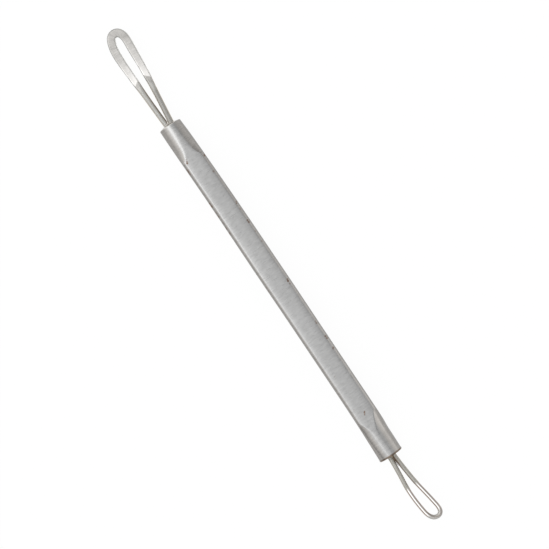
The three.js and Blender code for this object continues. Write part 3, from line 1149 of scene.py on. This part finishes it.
def leg_part(made, second):
    """One on a loop's second leg, which lies towards -Y, or on its first."""
    travelled = made.axis(made.mark("grain", vector=True), "X")
    fade = 0.5 * MM if second else -0.5 * MM
    return made.spread(travelled, SECOND_LEG_START, SECOND_LEG_START + fade)


def flank(made, direction, low, high):
    """How far the surface faces towards +Y or -Y, between two limits."""
    return made.rise(made.maths("MULTIPLY", made.facing("Y"), direction), low, high)


def darkened(made, base, amount, here, tint):
    """A colour darkened towards a tint where two marks meet."""
    return made.mixed(made.maths("MULTIPLY", amount, here), base, rgba(tint))


def drawn_steel(made, spots, steel, contrast):
    """Steel with the fine lines along it that drawing leaves on a wire."""
    lines = made.grain(made.mark("grain", vector=True), spots)
    return made.shades(made.spread(lines, 0.35, 0.65), steel, 1 - contrast, 1 + contrast)


def flanks_painted_tan(made, leg, tint):
    """A leg's colour with a tan painted reflection on its flanks."""
    return made.mixed(made.rise(made.upness(), 0.75, 0.35), leg, rgba(tint))


def large_loop_finish(finishes):
    """Drawn wire left matte on the legs, and ground across its hammered flat. Painted into it are a
    tan reflection and shade on the legs' flanks, light and shade on the hammered part's sides, and a
    highlight on the ground flat.
    """
    made = Finish("planished_wire_steel")
    x = made.axis(made.where(), "X")
    first, second = leg_part(made, False), leg_part(made, True)
    leg = drawn_steel(made, DRAWN_GRAIN, finishes.leg_steel, 0.08)
    # The first leg is darker from here to its root.
    darker_leg = made.maths("MULTIPLY", first, made.rise(x, *DARKER_LEG_PLACE))
    leg = made.mixed(darker_leg, leg, rgba(finishes.darker_leg_steel))
    leg = flanks_painted_tan(made, leg, finishes.painted_tan_reflection)
    # Painted light and shade on the hammered part's sides: darker where they face -Y or up, lighter
    # where they face +Y.
    hammered = made.shades(flank(made, 1, 0.1, 0.6), finishes.hammered_steel, 0.62, 1.7)
    leg = made.mixed(made.rise(x, *HAMMERED_PART), leg, hammered)
    second_shade = made.maths("MULTIPLY", second, made.rise(x, *SHADED_LEG, 0.85))
    leg = darkened(made, leg, flank(made, 1, 0.35, 0.75), second_shade, finishes.shadow_tint)
    crease = made.maths("MULTIPLY", made.band(x, *HAMMER_CREASE), 0.7)
    first_shade = made.maths("MULTIPLY", first, crease)
    leg = darkened(made, leg, flank(made, 1, 0.4, 0.8), first_shade, finishes.shadow_tint)
    ground = made.mark("ground")
    steel = made.mixed(ground, leg, ground_flat(made, finishes))
    return made.finish(steel, made.spread(ground, 0, 1, 0.6, 0.3))


def ground_flat(made, finishes):
    """The flat ground on the hammered part, scored across, and lighter by degrees up to a painted
    highlight on its ramp.
    """
    painted_highlight = made.mark("painted_highlight")
    grain = made.mark("grain", vector=True)
    streaks = made.spread(made.grain(grain, GROUND_STREAKS, 3), 0.3, 0.7, 0.9, 1.1)
    cloudy = made.spread(made.grain(grain, GROUND_CLOUDS), 0.35, 0.65, 0.93, 1.07)
    score = made.maths("SUBTRACT", made.maths("MULTIPLY", streaks, cloudy), 1.0)
    score = made.maths("MULTIPLY", score, made.spread(painted_highlight, 0.3, 1.0, 1.0, 0.3))
    flat = made.mixed(painted_highlight, rgba(finishes.ground_steel), rgba(finishes.highlight_steel))
    return made.scaled(flat, made.maths("ADD", score, 1.0))


def small_loop_finish(finishes, sizes):
    """Fine drawn wire, matte at its roots and tip and polished along the sides of its eye, with
    painted shade and a painted tan reflection on its flanks.
    """
    made = Finish("polished_wire_steel")
    x = made.axis(made.where(), "X")
    at_root = made.rise(x, *FINE_ROOT)
    at_tip = made.rise(x, *FINE_TIP)
    first = leg_part(made, False)
    leg = drawn_steel(made, FINE_DRAWN_GRAIN, finishes.fine_leg_steel, 0.1)
    leg = flanks_painted_tan(made, leg, finishes.fine_painted_tan_reflection)
    leg = darkened(made, leg, flank(made, -1, 0.35, 0.7), first, finishes.shadow_tint)
    # Darker brown on the first leg's inner flank near the root, between the two legs.
    near_root = made.maths("MULTIPLY", first, made.rise(x, *DARK_BROWN_ROOT_FLANK, 0.9))
    leg = darkened(made, leg, flank(made, -1, -0.1, 0.5), near_root, finishes.rim_shade_and_root_brown)
    eye = made.mixed(at_tip, polished_sides(made, finishes), fine_tip(made, finishes, sizes))
    matte = made.maths("MAXIMUM", at_root, at_tip)
    return made.finish(made.mixed(at_root, eye, leg), made.spread(matte, 0, 1, 0.2, 0.55))


def polished_sides(made, finishes):
    """The polished sides of the small loop's eye, with painted shade in brown on their flanks: darker
    where they face +Y, paler where they face -Y.
    """
    sideways = made.facing("Y")
    # Painted shade, in brown, on both flanks, by the way they face.
    brown = made.maths("MULTIPLY", made.band(sideways, 0.12, 0.35, 0.72, 0.98), 0.92)
    steel = made.mixed(brown, rgba(finishes.polished_steel), rgba(finishes.brown_tint))
    return made.mixed(made.rise(sideways, -0.3, -0.55, 0.85), steel, rgba(finishes.pale_brown_tint))


def fine_tip(made, finishes, sizes):
    """The matte tip of the small loop, with a brown line that crosses the wire on its way round."""
    line = centre_line(sizes, SMALL_PLAN_SHARES, SMALL_LEAN_SHARES, SMALL_SIDE)
    tip_y = float(line[len(line) // 2][1])
    across = made.maths("DIVIDE", made.axis(made.mark("grain", vector=True), "Y"), sizes.wire / 2)
    off_centre = made.maths("SUBTRACT", made.axis(made.where(), "Y"), tip_y)
    crossing = made.maths("MULTIPLY", off_centre, 1 / (sizes.eye + sizes.wire))
    brown = made.band(made.maths("SUBTRACT", across, crossing), -0.4, -0.1, 0.1, 0.4)
    brown = made.maths("MULTIPLY", brown, 0.6)
    return made.mixed(brown, rgba(finishes.fine_tip_steel), rgba(finishes.brown_tint))


def braze_finish(name, braze, rim_shade_and_root_brown):
    """Filler metal with a slightly uneven skin, darker brown beyond the small end's face."""
    made = Finish(name)
    place = made.where()
    uneven = made.noise(place, 3, BRAZE_SPOTS)
    # Darker brown where the braze stands out beyond the small end's face, between the legs.
    browned = made.rise(made.axis(place, "X"), *DARK_BROWN_BRAZE, 0.85)
    steel = made.mixed(browned, made.shades(uneven, braze, 0.8, 1.2), rgba(rim_shade_and_root_brown))
    made.bump(uneven, 0.25, 0.04 * MM)
    return made.finish(steel, 0.42)


# The studio


def make_floor(studio):
    """A wide pale floor that the camera and the metal both see as white, with a soft shadow."""
    mesh = bpy.data.meshes.new("floor")
    corners = [(x * FLOOR_HALF, y * FLOOR_HALF, 0) for x, y in ((-1, -1), (1, -1), (1, 1), (-1, 1))]
    mesh.from_pydata(corners, [], [(0, 1, 2, 3)])
    floor = bpy.data.objects.new("floor", mesh)
    bpy.context.scene.collection.objects.link(floor)
    material = bpy.data.materials.new("pale_floor")
    made = Nodes(material)
    diffuse = made.node("ShaderNodeBsdfDiffuse")
    diffuse.inputs["Color"].default_value = rgba(studio.floor)
    glow = made.node("ShaderNodeEmission")
    glow.inputs["Color"].default_value = WHITE
    rays = made.node("ShaderNodeLightPath").outputs
    seen = made.maths("MAXIMUM", rays["Is Camera Ray"], rays["Is Glossy Ray"])
    seen = made.maths("MAXIMUM", seen, rays["Is Transmission Ray"])
    mix = made.node("ShaderNodeMixShader")
    made.link(made.maths("MULTIPLY", seen, FLOOR_GLOW_SHARE), mix.inputs[0])
    made.link(diffuse.outputs[0], mix.inputs[1])
    made.link(glow.outputs[0], mix.inputs[2])
    made.output("ShaderNodeOutputMaterial", mix.outputs[0])
    mesh.materials.append(material)


def sky_ramp(made, sideways, column):
    """The level of the light by how far sideways it comes from, out of one column of the table."""
    ramp = made.node("ShaderNodeValToRGB")
    made.link(sideways, ramp.inputs[0])
    elements = ramp.color_ramp.elements
    while len(elements) < len(SKY_LEVELS):
        elements.new(0.5)
    for element, row in zip(elements, SKY_LEVELS):
        element.position = (row[0] + 1) / 2
        element.color = rgba((row[column],) * 3)
    return ramp.outputs[0]


def make_world():
    """Soft light from all round, brighter or dimmer by where it comes from."""
    world = bpy.data.worlds.new("studio")
    bpy.context.scene.world = world
    made = Nodes(world)
    direction = made.node("ShaderNodeTexCoord").outputs["Generated"]
    sideways = made.spread(made.axis(direction, "Y"), -1, 1)
    along = made.spread(made.axis(direction, "X"), *SKY_BLEND)
    level = made.mixed(along, sky_ramp(made, sideways, 1), sky_ramp(made, sideways, 2))
    background = made.node("ShaderNodeBackground")
    made.link(level, background.inputs["Color"])
    made.output("ShaderNodeOutputWorld", background.outputs[0])


def make_key_softbox(studio):
    """A softbox past the large loop, high on the side of the lighter flanks, turned to the tool."""
    lamp = bpy.data.lights.new("key_softbox", "AREA")
    lamp.shape = "RECTANGLE"
    lamp.size, lamp.size_y = KEY_SIZE
    lamp.energy = studio.key_level * math.pi * lamp.size * lamp.size_y
    holder = bpy.data.objects.new("key_softbox", lamp)
    bpy.context.scene.collection.objects.link(holder)
    holder.location = KEY_PLACE
    holder.rotation_mode = "QUATERNION"
    holder.rotation_quaternion = (-Vector(KEY_PLACE)).to_track_quat("-Z", "X")


def make_camera(studio):
    """A camera straight above the tool, turned so that the tool lies across the frame."""
    data = bpy.data.cameras.new("camera")
    data.sensor_width = CAMERA_SENSOR
    data.lens = CAMERA_SENSOR * studio.camera_height / studio.frame_width
    camera = bpy.data.objects.new("camera", data)
    bpy.context.scene.collection.objects.link(camera)
    camera.location = (*CAMERA_AIM, AXIS_HEIGHT + studio.camera_height)
    camera.rotation_euler = (0, 0, CAMERA_TURN)
    bpy.context.scene.camera = camera


# Operators and panel


class EXTRACTOR_OT_handle(bpy.types.Operator):
    """Make the square bar with its turned ends"""

    bl_idname = "extractor.handle"
    bl_label = "Handle"

    def execute(self, context):
        sizes = context.scene.extractor_handle
        piece = make_handle(sizes)
        fit(piece, "handle", handle_finish(context.scene.extractor_finishes, sizes))
        return {"FINISHED"}


class EXTRACTOR_OT_large_loop(bpy.types.Operator):
    """Make the planished loop"""

    bl_idname = "extractor.large_loop"
    bl_label = "Large loop"

    def execute(self, context):
        piece = make_large_loop(context.scene.extractor_large_loop)
        fit(piece, "large_loop", large_loop_finish(context.scene.extractor_finishes))
        return {"FINISHED"}


class EXTRACTOR_OT_small_loop(bpy.types.Operator):
    """Make the small polished loop"""

    bl_idname = "extractor.small_loop"
    bl_label = "Small loop"

    def execute(self, context):
        finishes = context.scene.extractor_finishes
        sizes = context.scene.extractor_small_loop
        piece = make_small_loop(sizes)
        fit(piece, "small_loop", small_loop_finish(finishes, sizes))
        return {"FINISHED"}


class EXTRACTOR_OT_brazes(bpy.types.Operator):
    """Make the braze that holds each loop in its bore"""

    bl_idname = "extractor.brazes"
    bl_label = "Brazes"

    def execute(self, context):
        finishes = context.scene.extractor_finishes
        large = context.scene.extractor_large_loop
        small = context.scene.extractor_small_loop
        piece = make_braze("large_braze_fillet", LARGE_END, LARGE_SIDE, large)
        grey = braze_finish("grey_braze", finishes.large_braze, finishes.rim_shade_and_root_brown)
        fit(piece, "large_loop_braze", grey)
        piece = make_braze("small_braze_fillet", SMALL_END, SMALL_SIDE, small)
        yellow = braze_finish("yellow_braze", finishes.small_braze, finishes.rim_shade_and_root_brown)
        fit(piece, "small_loop_braze", yellow)
        return {"FINISHED"}


class EXTRACTOR_OT_studio(bpy.types.Operator):
    """Make the floor, the light and the camera"""

    bl_idname = "extractor.studio"
    bl_label = "Studio"

    def execute(self, context):
        studio = context.scene.extractor_studio
        make_floor(studio)
        make_world()
        make_key_softbox(studio)
        make_camera(studio)
        context.scene.view_settings.view_transform = "Standard"
        return {"FINISHED"}


class EXTRACTOR_PT_panel(bpy.types.Panel):
    """The steps that build the extractor"""

    bl_label = "Extractor"
    bl_idname = "EXTRACTOR_PT_panel"
    bl_space_type = "VIEW_3D"
    bl_region_type = "UI"
    bl_category = "Extractor"

    def draw(self, context):
        for step in STEPS:
            self.layout.operator(step.bl_idname)


GROUPS = {
    "extractor_handle": ExtractorHandleSizes,
    "extractor_large_loop": ExtractorLargeLoopSizes,
    "extractor_small_loop": ExtractorSmallLoopSizes,
    "extractor_finishes": ExtractorFinishes,
    "extractor_studio": ExtractorStudio,
}
STEPS = (
    EXTRACTOR_OT_handle,
    EXTRACTOR_OT_large_loop,
    EXTRACTOR_OT_small_loop,
    EXTRACTOR_OT_brazes,
    EXTRACTOR_OT_studio,
)


def register():
    for group in GROUPS.values():
        bpy.utils.register_class(group)
    for name, group in GROUPS.items():
        setattr(bpy.types.Scene, name, PointerProperty(type=group))
    for step in STEPS:
        bpy.utils.register_class(step)
    bpy.utils.register_class(EXTRACTOR_PT_panel)


def unregister():
    bpy.utils.unregister_class(EXTRACTOR_PT_panel)
    for step in reversed(STEPS):
        bpy.utils.unregister_class(step)
    for name in GROUPS:
        delattr(bpy.types.Scene, name)
    for group in reversed(list(GROUPS.values())):
        bpy.utils.unregister_class(group)


def main():
    register()
    bpy.ops.extractor.handle()
    bpy.ops.extractor.large_loop()
    bpy.ops.extractor.small_loop()
    bpy.ops.extractor.brazes()
    bpy.ops.extractor.studio()


if __name__ == "__main__":
    main()
